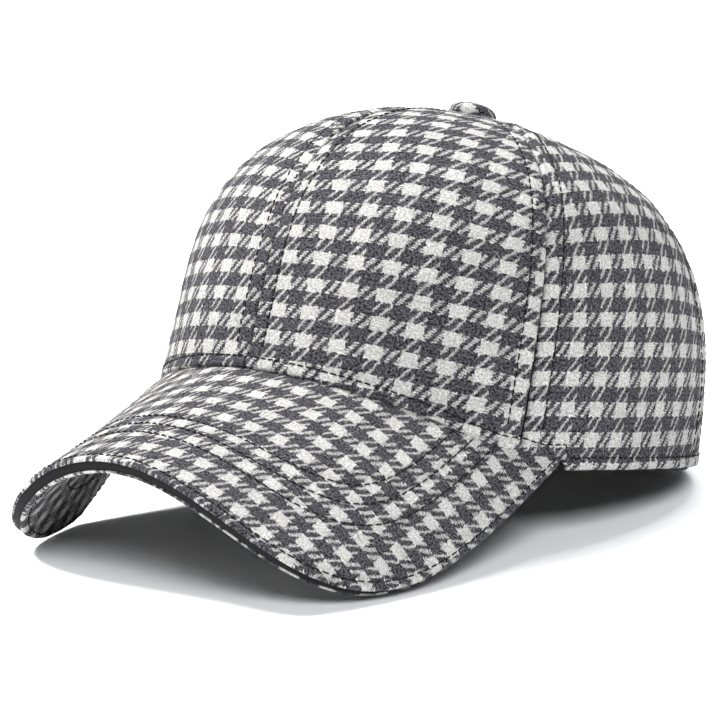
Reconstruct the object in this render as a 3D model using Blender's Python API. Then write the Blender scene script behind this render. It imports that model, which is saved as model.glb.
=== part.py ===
"""Houndstooth cap: six crown panels, a covered button, a two-sided brim
with a dark edge tape, and a dark sweatband. Metres, +Z up, floor at z = 0.
The brim points along -Y and +X is the wearer's left side of the cap."""
import bpy
import numpy as np

for thing in list(bpy.data.objects):
    bpy.data.objects.remove(thing, do_unlink=True)

# Crown, measured square to the rim plane.
rim_front = 0.0955        # rim centre to front of rim
rim_back = 0.0989         # rim centre to back of rim
rim_side = 0.0935        # rim centre to either side
crown_height = 0.127     # rim plane to top of cloth
crown_draft = 0.01       # share by which the wall leans in, rim to top
crown_lean = 0.005       # how far the top sits forward of the rim centre
front_roundness = 2.12   # superellipse powers: 2 is round, more is squarer
front_uprightness = 4.1
back_roundness = 2.16
back_uprightness = 3.8
crown_tilt = 21.3        # degrees, front of rim raised
rim_centre_y = 0.0167
rim_centre_z = 0.0076
hem_rise = 0.0145        # half the rise of the hem from front to back
side_droop = 0.0009      # how far the side hem hangs under that line
hem_step = 0.0041        # hem below the brim's top just behind the brim
hem_settle = 14.0        # degrees over which that step fades
hem_turn = 1.4           # degrees in which it steps down

# Cloth and sewing.
cloth = 0.0020           # panel wall
gap = 0.0003             # clearance between neighbouring pieces
hem_gap = 0.0005         # clearance between crown or sweatband and brim
seam_angles = (0.0, 60.0, 120.0, 180.0, 240.0, 300.0)
seam_depth = 0.0010      # how far a seam is drawn in
seam_reach = 0.0045      # half width of that groove
panel_top_radius = 0.0028

# Brim, whose top is one smooth bent surface.
brim_centre_z = 0.0572   # height of the brim's middle at the front of the rim
brim_pitch = 0.271       # fall per unit forward
brim_half_width = 0.088
brim_length = 0.1226     # reach forward of brim_root
brim_root = 0.0216       # forward of the rim centre
brim_squareness = 3.82   # superellipse power of its plan
sag_root = 0.0250        # drop at the half width, level with the root
sag_front = 0.0505       # drop at the half width, level with the front
curl_root = 0.0210       # further drop there, with the fourth power
curl_front = 0.0166
right_curl = 0.041       # share by which the right side bends in more in front
right_ease = 0.079       # and less beside the crown
right_start = 0.19       # reach at which the one passes to the other
right_spread = 0.57
brim_tip = 0.0034        # how far the brim stands out of the wall's inner face at its ends
end_share = 0.45         # share of its thickness that the top cover keeps there
end_reach = 0.009        # reach over which it thins to that
brim_thickness = 0.0063
cover_edge = 0.0015      # cover thickness where the tape lies between covers
tape_depth = 0.0044
tape_step = 0.0008       # width of the step behind the tape
tape_inset = 0.0003

# Sweatband inside the rim.
band_wall = 0.0014
band_height = 0.030
band_show = 0.0007       # how far it shows under the hem

# Covered button on top.
button_radius = 0.0080
button_height = 0.0062
button_forward = 0.0022  # how far it sits forward of the panels' meeting

# Soft dents: middle by angle from the front and by share of the height,
# depth as a share of deepest_dent, width as a share of rim_side.
deepest_dent = 0.0016
dent_columns = ("angle", "height", "depth", "width")
dents = (
    (40.0, 0.22, 1.00, 0.26),
    (-34.0, 0.30, 0.75, 0.28),
    (88.0, 0.34, 0.88, 0.28),
    (-96.0, 0.28, 0.80, 0.30),
    (152.0, 0.36, 0.80, 0.30),
    (-150.0, 0.40, 0.75, 0.28),
)

tilt = np.radians(crown_tilt)
seams = np.radians(np.array(seam_angles))


def to_world(x, forward, up):
    """Turn crown coordinates (across, forward, square to the rim) to x, y, z."""
    ahead = forward * np.cos(tilt) - up * np.sin(tilt)
    rise = forward * np.sin(tilt) + up * np.cos(tilt)
    return np.stack([x, rim_centre_y - ahead, rim_centre_z + rise], -1)


def to_crown(point):
    """The inverse of to_world: across, forward, square to the rim."""
    ahead = rim_centre_y - point[..., 1]
    rise = point[..., 2] - rim_centre_z
    forward = ahead * np.cos(tilt) + rise * np.sin(tilt)
    return point[..., 0], forward, rise * np.cos(tilt) - ahead * np.sin(tilt)


def lean(up):
    """How far the crown's axis has moved forward at a height."""
    return crown_lean * np.clip(up / crown_height, 0.0, 1.0) ** 2


def frontness(angle):
    """1 at the front, 0 at the back, a cosine between."""
    return 0.5 + 0.5 * np.cos(angle)


def rim_radius(angle):
    """Radius of the rim: an ellipse, a little longer behind than in front."""
    long_axis = np.where(np.cos(angle) > 0, rim_front, rim_back)
    return 1.0 / np.sqrt((np.sin(angle) / rim_side) ** 2 + (np.cos(angle) / long_axis) ** 2)


def wall_radius(angle, up):
    """Crown radius at a height: a superellipse whose powers pass from the
    front's to the back's, leaning in by the draft; below the rim it is plumb."""
    front = frontness(angle)
    roundness = back_roundness + (front_roundness - back_roundness) * front
    upright = back_uprightness + (front_uprightness - back_uprightness) * front
    share = np.clip(up / crown_height, 0.0, 1.0)
    dome = np.clip(1.0 - share ** upright, 0.0, 1.0) ** (1.0 / roundness)
    return rim_radius(angle) * (1.0 - crown_draft * share) * dome


def wall_point(angle, up):
    """Point of the smooth crown wall at an angle from the front."""
    radius = wall_radius(angle, up)
    return to_world(radius * np.sin(angle), radius * np.cos(angle) + lean(up), up)


def brim_reach(forward):
    """0 level with the brim's root, 1 level with its front."""
    return (forward - brim_root) / brim_length


def right_side(reach):
    """Share by which the right side of the brim is bent in at a reach."""
    outer = smooth((reach - right_start) / right_spread)
    return right_curl * outer - right_ease * (1.0 - outer)


def brim_height(x, forward):
    """Height of the brim's top: a straight fall forward, less a sag that
    grows with the square and fourth power of the distance from the middle;
    the right side is bent less beside the crown and more near the edge."""
    reach = brim_reach(forward)
    side = np.where(x < 0, x * (1.0 + right_side(reach)), x) / brim_half_width
    sag = sag_root + (sag_front - sag_root) * reach
    curl = curl_root + (curl_front - curl_root) * reach
    return brim_centre_z - brim_pitch * (forward - rim_front) - sag * side ** 2 - curl * side ** 4


def brim_normal(x, forward):
    """Upward unit normal of the brim's top, from small steps over it."""
    small = 1e-5
    across = (brim_height(x + small, forward) - brim_height(x - small, forward)) / (2 * small)
    ahead = (brim_height(x, forward + small) - brim_height(x, forward - small)) / (2 * small)
    return unit(np.stack([-across, ahead, np.ones_like(x)], -1))


def wall_meets(angle, depth, surface):
    """Height above the rim plane at which the wall, at a depth inside its
    cloth, meets a surface given as a height over (across, forward)."""
    up = np.zeros_like(angle)
    for step in range(16):
        point = wall_shell(angle, up, np.full_like(angle, depth))
        ahead = rim_centre_y - point[..., 1]
        up = up + 0.9 * (surface(point[..., 0], ahead) - point[..., 2])
    return up


def floor_height(x, forward):
    """The floor under the hem."""
    return np.zeros_like(x)


def free_hem(angle):
    """Hem behind the brim: it rises a little to the back, which lies on the
    floor, and droops at the sides."""
    return hem_rise * (1.0 - np.cos(angle)) - side_droop * np.sin(angle) ** 2


def smooth(value):
    """0 below 0, 1 above 1, an S curve between."""
    value = np.clip(value, 0.0, 1.0)
    return value * value * (3.0 - 2.0 * value)


def brim_outline(count, depth=0.0):
    """Plan of the brim's edge as (across, forward) pairs from left to right:
    a superellipse whose right side is narrowed, evenly spaced, and cut where
    a layer at the depth stands brim_tip out of the wall's inner face."""
    turn = np.linspace(0.0, np.pi / 2, 4801)
    power = 2.0 / brim_squareness
    across = brim_half_width * np.sin(turn) ** power
    forward = brim_root + brim_length * np.cos(turn) ** power
    narrow = 1.0 + np.maximum(right_side(brim_reach(forward)), 0.0)
    across = np.concatenate([across[:0:-1], -across / narrow])
    forward = np.concatenate([forward[:0:-1], forward])
    root = root_radius(np.arctan2(across, forward), depth)
    keep = np.hypot(across, forward) - root > brim_tip
    across, forward = across[keep], forward[keep]
    steps = np.hypot(np.diff(across), np.diff(forward))
    length = np.concatenate([[0.0], np.cumsum(steps)])
    wanted = np.linspace(0.0, 1.0, count) * length[-1]
    return np.interp(wanted, length, across), np.interp(wanted, length, forward)


def brim_end_angle():
    """Largest angle about the crown's axis along the brim's end, from its
    edge to its root."""
    x, forward = brim_outline(401)
    angle = np.arctan2(x[:1], forward[:1])
    radius = np.concatenate([np.hypot(x[:1], forward[:1]), root_radius(angle, 0.0)])
    point = brim_point(radius * np.sin(angle), radius * np.cos(angle), np.zeros(2))
    across, ahead, up = to_crown(point)
    return float(np.max(np.arctan2(across, ahead - lean(up))))


def hem_line(angle, depth):
    """Lower edge of the crown, as height above the rim plane: on the brim in
    front, then a hem that starts hem_step lower, settles to the free hem, and
    lies flat where it would go under the floor."""
    angle = np.arctan2(np.sin(angle), np.cos(angle))
    on_brim = wall_meets(angle, depth, brim_height) + hem_gap / np.cos(tilt)
    side = np.where(angle < 0, -1.0, 1.0)
    ends = side * brim_end
    start = wall_meets(ends, depth, brim_height) - hem_step - free_hem(ends)
    past = np.maximum(np.abs(angle) - brim_end, 0.0)
    free = free_hem(angle) + start * np.exp(-past / np.radians(hem_settle))
    line = on_brim + (free - on_brim) * smooth(past / np.radians(hem_turn) - 0.3)
    return np.maximum(line, wall_meets(angle, depth, floor_height))


def dent_depth(angle, up):
    """Sum of the soft dents: each one is a bell in angle and height."""
    total = np.zeros(np.broadcast(angle, up).shape)
    for middle, height, depth, width in dents:
        turn = angle - np.radians(middle)
        turn = np.arctan2(np.sin(turn), np.cos(turn))
        side = turn / width
        rise = (up - height * crown_height) / (width * rim_side)
        total = total + depth * deepest_dent * np.exp(-side ** 2 - rise ** 2)
    return total


def seam_draw(angle, up):
    """How far the wall is drawn in near the closest seam."""
    turn = angle[..., None] - seams
    turn = np.abs(np.arctan2(np.sin(turn), np.cos(turn))).min(-1)
    distance = turn * np.maximum(wall_radius(angle, up), 0.001)
    return seam_depth * np.exp(-(distance / seam_reach) ** 2)


def unit(vector):
    return vector / np.maximum(np.linalg.norm(vector, axis=-1, keepdims=True), 1e-12)


def wall_normal(angle, up):
    """Outward normal of the smooth wall, from small steps along it."""
    small = 1e-4
    low = np.clip(up, 0.0, crown_height - 4 * small)
    turned = wall_point(angle + 0.002, low) - wall_point(angle - 0.002, low)
    raised = wall_point(angle, low + small) - wall_point(angle, low)
    return unit(np.cross(turned, raised))


def wall_shell(angle, up, depth):
    """Wall point at a depth inside the cloth, dents and seams included."""
    inward = depth + dent_depth(angle, up) + seam_draw(angle, up)
    return wall_point(angle, up) - wall_normal(angle, up) * inward[..., None]


def add_sheet(name, outer, inner, material, closed=False):
    """Closed slab between two grids of the same size, wrapped when closed."""
    rows, columns = outer.shape[:2]
    vertices = np.concatenate([outer.reshape(-1, 3), inner.reshape(-1, 3)])
    index = np.arange(rows * columns).reshape(rows, columns)
    if closed:
        index = np.concatenate([index, index[:, :1]], 1)
    under = index + rows * columns

    def quads(grid):
        first, second = grid[:-1, :-1], grid[:-1, 1:]
        third, fourth = grid[1:, 1:], grid[1:, :-1]
        return np.stack([first, second, third, fourth], -1).reshape(-1, 4)

    def strip(top, bottom):
        return np.stack([top[:-1], bottom[:-1], bottom[1:], top[1:]], -1)

    faces = [quads(index), quads(under)[:, ::-1]]
    faces.append(strip(index[0], under[0]))
    faces.append(strip(index[-1], under[-1])[:, ::-1])
    if not closed:
        faces.append(strip(index[:, 0], under[:, 0])[:, ::-1])
        faces.append(strip(index[:, -1], under[:, -1]))
    mesh = bpy.data.meshes.new(name)
    mesh.from_pydata(vertices.tolist(), [], np.concatenate(faces).tolist())
    mesh.update()
    mesh.validate()
    mesh.polygons.foreach_set("use_smooth", np.ones(len(mesh.polygons), dtype=bool))
    thing = bpy.data.objects.new(name, mesh)
    bpy.context.scene.collection.objects.link(thing)
    mesh.materials.append(material)


def make_material(name, colour, roughness):
    """Plain Principled material from a linear colour."""
    material = bpy.data.materials.new(name)
    material.use_nodes = True
    shader = material.node_tree.nodes["Principled BSDF"]
    shader.inputs["Base Color"].default_value = (*colour, 1.0)
    shader.inputs["Roughness"].default_value = roughness
    return material


def panel_angles(start, stop, count):
    """Angles across a panel, closer together beside its seams, with the last
    one that lies over the brim moved to where the hem leaves it."""
    share = np.linspace(0.0, 1.0, count)
    eased = share - 0.45 * np.sin(2 * np.pi * share) / (2 * np.pi)
    angle = start + (stop - start) * eased
    leave = brim_end + 0.3 * np.radians(hem_turn)
    if start < leave < stop:
        angle[np.searchsorted(angle, leave) - 1] = leave
    if start < 2 * np.pi - leave < stop:
        angle[np.searchsorted(angle, 2 * np.pi - leave)] = 2 * np.pi - leave
    return angle


def add_panel(name, first_seam, material):
    """Gore from the seam at first_seam to the next, gap/2 clear of each."""
    rows, columns = 15, 13
    start, stop = np.radians(first_seam), np.radians(first_seam + 60.0)
    angle = panel_angles(start, stop, columns)
    turn = np.linspace(0.0, 1.0, rows)[:, None]
    quarter = np.sin(turn * np.pi / 2) ** 0.9
    top = height_at_radius(angle, panel_top_radius)[None, :]
    side = np.zeros(columns)
    side[0], side[-1] = 1.0, -1.0
    faces = []
    for depth in (0.0, cloth):
        bottom = hem_line(angle, depth)[None, :]
        up = bottom + (top - bottom) * quarter
        spread = np.broadcast_to(angle, up.shape)
        radius = np.maximum(wall_radius(spread, up), panel_top_radius * 0.8)
        spread = spread + side * gap / 2 / radius
        shell = wall_shell(spread, up, np.full_like(up, depth))
        faces.append(rest_on_floor(shell))
    add_sheet(name, faces[0], faces[1], material)


def rest_on_floor(points):
    """Cloth that would sink under the floor lies flat on it."""
    flat = points.copy()
    flat[..., 2] = np.maximum(flat[..., 2], 0.0)
    return flat


def height_at_radius(angle, radius):
    """Height at which the crown has closed in to a radius, by halving."""
    low = np.full_like(angle, 0.5 * crown_height)
    high = np.full_like(angle, crown_height)
    for step in range(40):
        middle = 0.5 * (low + high)
        wide = wall_radius(angle, middle) > radius
        low, high = np.where(wide, middle, low), np.where(wide, high, middle)
    return low


def brim_grid(outline, rows, depth):
    """Plan grid of the brim from under the wall to its edge, for a layer at a
    depth; the last rows are spaced for the tape's recess."""
    across, forward = outline
    angle = np.arctan2(across, forward)
    edge = np.hypot(across, forward)
    root = root_radius(angle, depth)
    reach = edge - root
    steps = np.array([0.0, tape_depth, tape_depth + tape_step])[:, None]
    inset = np.minimum(steps, reach * np.array([0.0, 0.45, 0.6])[:, None])
    share = np.linspace(0.0, 1.0, rows)[:, None]
    body = root + share * (reach - inset[2])
    radius = np.concatenate([body, (edge - inset[1])[None], edge[None]])
    return radius * np.sin(angle), radius * np.cos(angle)


def root_radius(angle, depth):
    """Plan radius at which a layer under the brim's top meets the wall's
    inner face, found by moving in or out until the two agree."""
    inset = cloth + gap - hem_gap
    radius = rim_radius(angle) - inset
    below = np.full_like(angle, 1.0) * depth
    for step in range(20):
        point = brim_point(radius * np.sin(angle), radius * np.cos(angle), below)
        across, forward, up = to_crown(point)
        turn = np.arctan2(across, forward - lean(up))
        face = wall_radius(turn, up) - inset - seam_draw(turn, up) - dent_depth(turn, up)
        radius = radius + 0.7 * (face - np.hypot(across, forward - lean(up)))
    return radius


def brim_point(x, forward, depth):
    """Point at a depth under the brim's top, square to it."""
    top = np.stack([x, rim_centre_y - forward, brim_height(x, forward)], -1)
    return top - brim_normal(x, forward) * depth[..., None]


brim_end = brim_end_angle()


def add_brim(cloth_material, tape_material):
    """Top cover, under cover and the tape held between their edges."""
    body = (brim_thickness - gap) / 2
    upper_line = brim_outline(49)
    lower_line = brim_outline(49, brim_thickness)
    across, forward = upper_line
    reach = np.hypot(across, forward) - root_radius(np.arctan2(across, forward), 0.0)
    ease = end_share + (1.0 - end_share) * smooth((reach - brim_tip) / end_reach)
    layers = []
    for outline, depth, edge_depth in (
        (upper_line, 0.0 * ease, 0.0 * ease),
        (upper_line, body * ease, np.minimum(cover_edge, 0.8 * body * ease)),
        (lower_line, (body + gap) + 0.0 * ease, brim_thickness - cover_edge + 0.0 * ease),
        (lower_line, brim_thickness + 0.0 * ease, brim_thickness + 0.0 * ease),
    ):
        x, forward = brim_grid(outline, 8, depth)
        below = np.repeat(depth[None], len(x), 0)
        below[-2:] = edge_depth
        layers.append(brim_point(x, forward, below))
    add_sheet("brim_top", layers[0], layers[1], cloth_material)
    add_sheet("brim_under", layers[2], layers[3], cloth_material)
    tape_low = brim_thickness - cover_edge - gap
    x, forward = brim_grid(brim_outline(49, tape_low), 8, tape_low)
    share = np.array([0.12, 1.0])[:, None]
    tx = x[-2] + (x[-1] - x[-2]) * share
    tf = forward[-2] + (forward[-1] - forward[-2]) * share
    pull = tape_inset / np.maximum(np.hypot(tx, tf), 0.01)
    tx, tf = tx * (1 - pull), tf * (1 - pull)
    upper = brim_point(tx, tf, np.full(tx.shape, cover_edge + gap))
    lower = brim_point(tx, tf, np.full(tx.shape, tape_low))
    add_sheet("brim_tape", upper[:, 1:-1], lower[:, 1:-1], tape_material)


def add_sweatband(material):
    """Closed band inside the wall, from just under the hem upward; in front
    it hangs to the brim's underside and covers the brim's root."""
    angle = np.linspace(-np.pi, np.pi, 97)[:-1]
    hem = hem_line(angle, cloth)
    past = (np.abs(angle) - brim_end) / np.radians(hem_turn) + 0.5
    under = (brim_thickness + band_show) / np.cos(tilt)
    low = hem - under + (under - band_show) * smooth(past)
    high = hem + band_height
    share = np.array([0.0, 0.25, 0.6, 1.0])[:, None]
    up = low + (high - low) * share
    spread = np.broadcast_to(angle, up.shape)
    outer = wall_shell(spread, up, np.full_like(up, cloth + gap))
    inner = wall_shell(spread, up, np.full_like(up, cloth + gap + band_wall))
    add_sheet("sweatband", rest_on_floor(outer), rest_on_floor(inner), material, closed=True)


def add_button(material):
    """Low domed button of revolution with a short shank that fills the hole
    where the panels meet; it follows the top of the crown with a gap."""
    sides = 24
    turn = np.linspace(0.0, 2 * np.pi, sides + 1)[:-1]
    crown_drop = crown_height - float(np.mean(height_at_radius(turn, button_radius)))
    shank = panel_top_radius - 3 * gap
    profile = (
        (shank, -0.7 * cloth),
        (shank, gap),
        (button_radius * 0.90, gap - crown_drop * 0.75),
        (button_radius, button_height * 0.20 - crown_drop * 0.75),
        (button_radius * 0.98, button_height * 0.44 - crown_drop * 0.5),
        (button_radius * 0.82, button_height * 0.78),
        (button_radius * 0.50, button_height * 0.95),
        (button_radius * 0.12, button_height),
    )
    radius = np.array([row[0] for row in profile])[:, None]
    up = crown_height + np.array([row[1] for row in profile])[:, None]
    shift = np.where(up > crown_height - cloth / 2, button_forward, 0.0)
    x, ahead = radius * np.sin(turn), radius * np.cos(turn) + crown_lean + shift
    ring = to_world(x, ahead, np.broadcast_to(up, x.shape))
    vertices = ring.reshape(-1, 3)
    index = np.arange(len(vertices)).reshape(ring.shape[:2])
    around = np.concatenate([index, index[:, :1]], 1)
    faces = []
    for row in range(len(profile) - 1):
        for column in range(sides):
            low, high = around[row], around[row + 1]
            side = (low[column], low[column + 1], high[column + 1], high[column])
            faces.append(tuple(int(corner) for corner in side))
    faces.append(tuple(int(corner) for corner in index[0][::-1]))
    faces.append(tuple(int(corner) for corner in index[-1]))
    mesh = bpy.data.meshes.new("button")
    mesh.from_pydata(vertices.tolist(), [], faces)
    mesh.update()
    mesh.polygons.foreach_set("use_smooth", np.ones(len(mesh.polygons), dtype=bool))
    thing = bpy.data.objects.new("button", mesh)
    bpy.context.scene.collection.objects.link(thing)
    mesh.materials.append(material)


def main():
    wool = make_material("wool", (0.36, 0.35, 0.34), 0.9)
    dark = make_material("dark_twill", (0.012, 0.012, 0.014), 0.8)
    names = (
        ("panel_front_left", 0.0),
        ("panel_side_left", 60.0),
        ("panel_back_left", 120.0),
        ("panel_back_right", 180.0),
        ("panel_side_right", 240.0),
        ("panel_front_right", 300.0),
    )
    for name, first_seam in names:
        add_panel(name, first_seam, wool)
    add_brim(wool, dark)
    add_sweatband(dark)
    add_button(wool)


main()
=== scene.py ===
import bpy
import numpy as np
from mathutils import Matrix


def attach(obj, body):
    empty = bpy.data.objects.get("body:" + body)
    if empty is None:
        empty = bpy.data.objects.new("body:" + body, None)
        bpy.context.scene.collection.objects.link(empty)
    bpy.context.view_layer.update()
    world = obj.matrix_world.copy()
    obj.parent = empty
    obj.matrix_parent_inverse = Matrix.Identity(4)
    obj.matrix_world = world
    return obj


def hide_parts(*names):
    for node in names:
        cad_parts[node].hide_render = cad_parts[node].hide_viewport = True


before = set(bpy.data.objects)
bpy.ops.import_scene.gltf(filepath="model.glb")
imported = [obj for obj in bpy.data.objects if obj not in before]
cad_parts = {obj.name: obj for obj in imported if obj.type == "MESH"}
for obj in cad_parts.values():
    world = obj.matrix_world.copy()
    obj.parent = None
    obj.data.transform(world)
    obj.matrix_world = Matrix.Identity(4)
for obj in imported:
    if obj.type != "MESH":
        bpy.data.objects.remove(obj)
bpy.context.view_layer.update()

chance = np.random.default_rng(8)

# Sizes are in metres, angles in degrees from the front, + toward the wearer's left.
# The crown, measured square to its rim.
rim_front = 0.0955
rim_back = 0.0989
rim_side = 0.0935
crown_height = 0.127
crown_draft = 0.01
crown_lean = 0.005
front_roundness = 2.12
front_uprightness = 4.1
back_roundness = 2.16
back_uprightness = 3.8
crown_tilt = 21.3
rim_centre_y = 0.0167
rim_centre_z = 0.0076
hem_rise = 0.0145
side_droop = 0.0009
hem_step = 0.0041
hem_settle = 14.0
hem_turn = 1.4
cloth = 0.0020
gap = 0.0003
hem_gap = 0.0005
seam_angles = (0.0, 60.0, 120.0, 180.0, 240.0, 300.0)
panel_top_radius = 0.0028

# The brim.
brim_centre_z = 0.0572
brim_pitch = 0.271
brim_half_width = 0.088
brim_length = 0.1226
brim_root = 0.0216
brim_squareness = 3.82
sag_root = 0.0250
sag_front = 0.0505
curl_root = 0.0210
curl_front = 0.0166
right_curl = 0.041
right_ease = 0.079
right_start = 0.19
right_spread = 0.57
brim_tip = 0.0034
end_share = 0.45
end_reach = 0.009
brim_thickness = 0.0063
cover_edge = 0.0015
tape_depth = 0.0044
tape_inset = 0.0003

# Sweatband and button.
band_wall = 0.0014
band_height = 0.030
band_show = 0.0016           # past the hem, so that its dark edge shows
button_radius = 0.0080
button_height = 0.0062
button_forward = 0.0022
button_puff = 0.0006         # the padded cover swells past the solid

# Sewing.
seam_groove = 0.00045       # broad hollow along a seam
seam_reach = 0.0034
allowance = 0.0056          # from a seam to the stitches beside it
allowance_rise = 0.00035    # the turned-in cloth lifts this strip
hem_fold = 0.0013           # radius of the folded hem
hem_stitch = 0.0040         # from the hem's edge to its stitches
hem_swell = 0.00045
stitch_pitch = 0.0030
stitch_length = 0.0028
stitch_radius = 0.00027
stitch_sink = 0.00045       # how deep the stitches draw the cloth
edge_stitch = 0.0024        # from the brim's edge to its first row
brim_draw = 0.00026         # how deep the rows on the brim draw it
draw_width = 0.0006         # of the hollow along a row
row_start = 0.0035          # seam rows begin this far above the hem's row
row_stop = 0.017            # and end where the panel is this narrow

# Rows on the brim: the distance from its edge in the middle, and how much
# that grows for each length away from the middle.
brim_rows = (
    (edge_stitch, 0.0),
    (0.0185, 0.016),
    (0.0243, 0.032),
    (0.0297, 0.050),
)
seam_gap = 0.00004

# Loose fibres.
nap_radius = 0.000045
gore_fibres = 1300           # loose fibres on one crown panel
cover_fibres = (3000, 700)   # on the brim's top and underside
nap_shortest = 0.0014
nap_spread = 0.0026          # the longest fibre is longer by this

# Each seam: its angle, the radius of its fold, and how far it is pulled
# open below pull_height, fully so lower down by pull_fade.
pull_height = 0.085
pull_fade = 0.045
seam_folds = (
    (0.0, 0.0007, 0.0),
    (60.0, 0.0019, 0.00042),
    (120.0, 0.0011, 0.0),
    (180.0, 0.0009, 0.0),
    (240.0, 0.0011, 0.0),
    (300.0, 0.0019, 0.00042),
)

# Waves in the cloth: their lengths, then their heights.
seam_puckers = ((0.0041, 0.0068, 0.012), (0.00008, 0.00016, 0.00022))
hem_puckers = ((0.0046, 0.0090), (0.00012, 0.00020))
crown_waves = ((0.062, 0.038, 0.021), (0.0005, 0.0003, 0.00012))
brim_puckers = ((0.0050, 0.0085), (0.00012, 0.00014))
brim_waves = ((0.045, 0.024), (0.00022, 0.00010))

# Soft dents: middle by angle and by share of the height, depth as a share
# of deepest_dent, width as a share of rim_side.
deepest_dent = 0.0016
dents = (
    (40.0, 0.22, 1.00, 0.26),
    (-34.0, 0.30, 0.75, 0.28),
    (88.0, 0.34, 0.88, 0.28),
    (-96.0, 0.28, 0.80, 0.30),
    (152.0, 0.36, 0.80, 0.30),
    (-150.0, 0.40, 0.75, 0.28),
)

# How the cloth lies on each piece, in millimetres of its flat pattern: one
# repeat of 21 warp yarns across, one of 12 weft yarns along, and the middle
# of one white block.
grain = {
    "front_left": ((12.3, -0.2), (0.3, 9.36), (-2.6, 69.1)),
    "side_left": ((11.1, 2.1), (0.25, 10.1), (-23.1, 69.1)),
    "back_left": ((11.8, 0.6), (0.1, 9.8), (2.0, 66.0)),
    "back_right": ((11.8, -0.6), (-0.1, 9.8), (4.0, 62.0)),
    "side_right": ((11.1, -2.1), (-0.25, 10.1), (19.0, 66.0)),
    "front_right": ((12.3, 0.2), (-0.3, 9.36), (3.4, 64.0)),
    "brim_top": ((10.8, 1.6), (-0.3, 8.1), (92.4, -85.25)),
    "brim_under": ((10.9, 0.4), (0.2, 8.2), (1.0, -90.0)),
    "button": ((11.0, 0.0), (0.0, 9.4), (4.3, 1.0)),
}

# The weave: yarns in one repeat, and how many of them are light.
warp_yarns = 21.0
light_warps = 10.0
weft_yarns = 12.0
light_wefts = 6.0
repeat_size = (11.6, 9.6, 0.0)   # in millimetres, for the scale of the noises
yarn_drift = (1.8, 1.2, 0.0)     # how far the yarns wander, in yarns
yarn_fuzz = (4.8, 2.6, 0.0)      # how far their fibres stray, in yarns
warp_show = 0.54                 # share of a light warp's float that shows
weft_show = 0.74                 # share of a light weft's width that shows

# The panels, each from its seam in seam_angles to the next.
gores = ("front_left", "side_left", "back_left", "back_right", "side_right", "front_right")

# Points along and up the grids.
panel_columns = 137
panel_rows = 241
brim_columns = 401
brim_levels = 97
band_columns = 480
button_columns = 120

# The photograph's view: turn and height of the eye, roll, distance, lens.
eye_turn = 42.5
eye_height = 10.5
eye_roll = -3.3
eye_distance = 1.041
eye_lens = 36.0 * 3008.0 / 720.0
eye_target = (0.0, 0.0167, 0.060)
eye_shift = (-0.0165, -0.0100)
light_distance = 6.0
light_target = (0.0, 0.0, 0.06)

tilt = np.radians(crown_tilt)
seams = np.radians(np.array(seam_angles))


def smooth(value):
    """0 below 0, 1 above 1, an S curve between."""
    value = np.clip(value, 0.0, 1.0)
    return value * value * (3.0 - 2.0 * value)


def unit(vector):
    """The vector over its length."""
    return vector / np.maximum(np.linalg.norm(vector, axis=-1, keepdims=True), 1e-12)


def to_world(x, forward, up):
    """Crown coordinates, turned by the tilt and moved to the rim's middle."""
    ahead = forward * np.cos(tilt) - up * np.sin(tilt)
    rise = forward * np.sin(tilt) + up * np.cos(tilt)
    return np.stack([x, rim_centre_y - ahead, rim_centre_z + rise], -1)


def to_crown(point):
    """The inverse of to_world."""
    ahead = rim_centre_y - point[..., 1]
    rise = point[..., 2] - rim_centre_z
    forward = ahead * np.cos(tilt) + rise * np.sin(tilt)
    return point[..., 0], forward, rise * np.cos(tilt) - ahead * np.sin(tilt)


def lean(up):
    """Forward shift of the crown's axis: the lean times the height share squared."""
    return crown_lean * np.clip(up / crown_height, 0.0, 1.0) ** 2


def rim_radius(angle):
    """Ellipse in polar form, longer behind than in front."""
    long_axis = np.where(np.cos(angle) > 0, rim_front, rim_back)
    return 1.0 / np.sqrt((np.sin(angle) / rim_side) ** 2 + (np.cos(angle) / long_axis) ** 2)


def wall_radius(angle, up):
    """Rim radius, less the draft, times a superellipse in the height share
    whose powers pass from the front's to the back's with the cosine."""
    front = 0.5 + 0.5 * np.cos(angle)
    roundness = back_roundness + (front_roundness - back_roundness) * front
    upright = back_uprightness + (front_uprightness - back_uprightness) * front
    share = np.clip(up / crown_height, 0.0, 1.0)
    dome = np.clip(1.0 - share ** upright, 0.0, 1.0) ** (1.0 / roundness)
    return rim_radius(angle) * (1.0 - crown_draft * share) * dome


def wall_point(angle, up):
    """Polar point of the wall at a height, in the world."""
    radius = wall_radius(angle, up)
    return to_world(radius * np.sin(angle), radius * np.cos(angle) + lean(up), up)


def wall_normal(angle, up):
    """Cross product of a small turn and a small rise along the wall."""
    small = 1e-4
    low = np.clip(up, 0.0, crown_height - 4 * small)
    turned = wall_point(angle + 0.002, low) - wall_point(angle - 0.002, low)
    raised = wall_point(angle, low + small) - wall_point(angle, low)
    return unit(np.cross(turned, raised))


def dent_depth(angle, up):
    """Sum of bells in angle and height, one for each dent."""
    total = np.zeros(np.broadcast(angle, up).shape)
    for middle, height, depth, width in dents:
        turn = angle - np.radians(middle)
        turn = np.arctan2(np.sin(turn), np.cos(turn))
        side = turn / width
        rise = (up - height * crown_height) / (width * rim_side)
        total = total + depth * deepest_dent * np.exp(-side ** 2 - rise ** 2)
    return total


def seam_hollow(angle, up):
    """A bell across the nearest seam."""
    turn = angle[..., None] - seams
    turn = np.abs(np.arctan2(np.sin(turn), np.cos(turn))).min(-1)
    distance = turn * np.maximum(wall_radius(angle, up), 0.001)
    return seam_groove * np.exp(-(distance / seam_reach) ** 2)


def wall_shell(angle, up, depth):
    """Wall point moved in along its normal by depth, dents and seams."""
    inward = depth + dent_depth(angle, up) + seam_hollow(angle, up)
    return wall_point(angle, up) - wall_normal(angle, up) * inward[..., None]


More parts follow.
